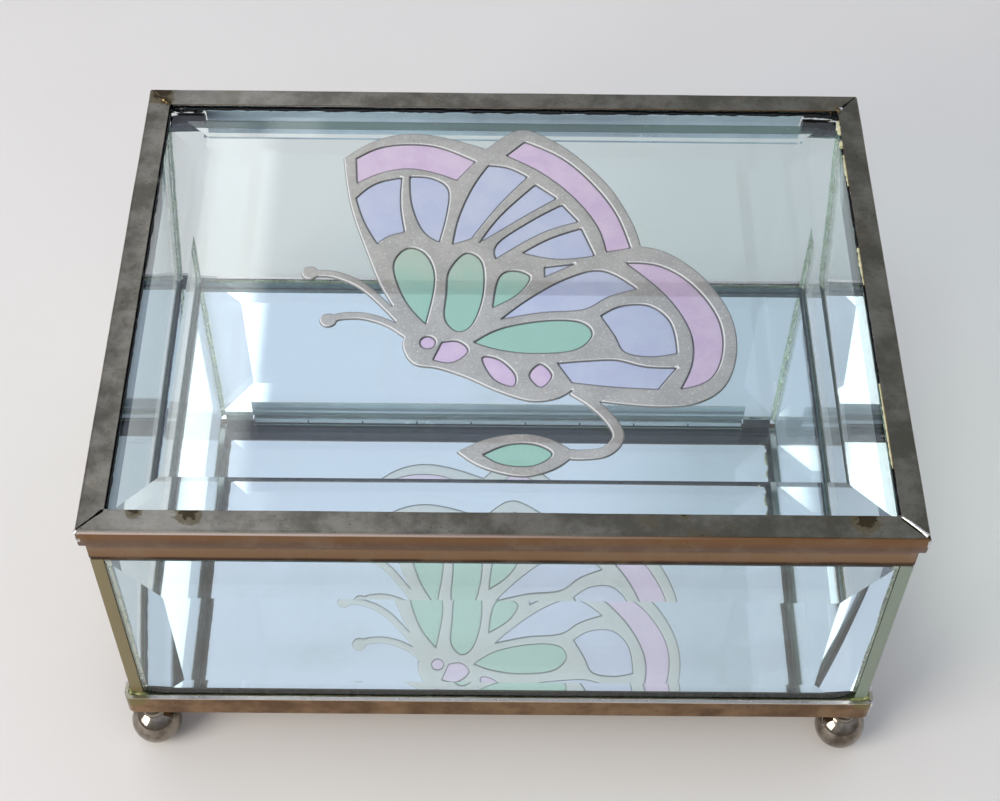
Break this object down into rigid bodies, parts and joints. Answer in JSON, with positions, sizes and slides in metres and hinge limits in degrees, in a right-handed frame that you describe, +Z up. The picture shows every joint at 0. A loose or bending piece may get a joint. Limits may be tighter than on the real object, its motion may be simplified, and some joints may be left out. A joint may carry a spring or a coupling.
{
  "type": "glass casket box",
  "caption": "Bevelled glass box with a mirror floor, metal tray, ball feet and a hinged glass lid with a butterfly ornament.",
  "frame": {"origin": "on the table, in the middle of the box's width and depth", "axes": "+X to the right along the width, +Y to the hinge at the back, +Z up"},
  "size_m": [0.143, 0.1094, 0.0751],
  "materials": {
    "frame_metal": "nickel plate, polished skirt, dull and tarnished on top",
    "tray_metal": "nickel plate, polished, lightly tarnished",
    "foot_metal": "nickel plate, polished, tarnished",
    "hinge_metal": "plated brass, satin",
    "solder": "bright soft solder",
    "clear_glass": "clear, polished, bevelled",
    "mirror": "silvered on the back, polished",
    "board": "matte backing board",
    "sealant": "dull bead",
    "adhesive": "clear adhesive, yellowed",
    "ornament_lines": "silver-grey cast relief, satin",
    "pink_cells": "translucent colour, satin",
    "lavender_cells": "translucent colour, satin",
    "green_cells": "translucent colour, satin"
  },
  "bodies": {
    "case": {"front_glass": "clear_glass", "back_glass": "clear_glass", "left_glass": "clear_glass", "right_glass": "clear_glass", "corner_bond_front_left": "adhesive", "corner_bond_front_right": "adhesive", "corner_bond_back_left": "adhesive", "corner_bond_back_right": "adhesive", "tray_frame": "tray_metal", "tray_solder": "solder", "tray_adhesive": "adhesive", "backing_board": "board", "mirror_floor": "mirror", "foot_front_left": "foot_metal", "foot_front_right": "foot_metal", "foot_back_left": "foot_metal", "foot_back_right": "foot_metal", "hinge_case_rail": "hinge_metal", "hinge_pin": "hinge_metal"},
    "lid": {"lid_frame_front": "frame_metal", "lid_frame_back": "frame_metal", "lid_frame_left": "frame_metal", "lid_frame_right": "frame_metal", "lid_corner_solder": "solder", "lid_glass": "clear_glass", "lid_sealant": "sealant", "butterfly_outline": "ornament_lines", "butterfly_pink": "pink_cells", "butterfly_lavender": "lavender_cells", "butterfly_green": "green_cells", "hinge_lid_leaf": "hinge_metal"}
  },
  "joints": [
    {"name": "lid_hinge", "type": "hinge", "parent": "case", "child": "lid", "pos_m": [0, 0.0518, 0.0692], "axis": [-1, 0, 0], "range_deg": [0, 105]}
  ]
}
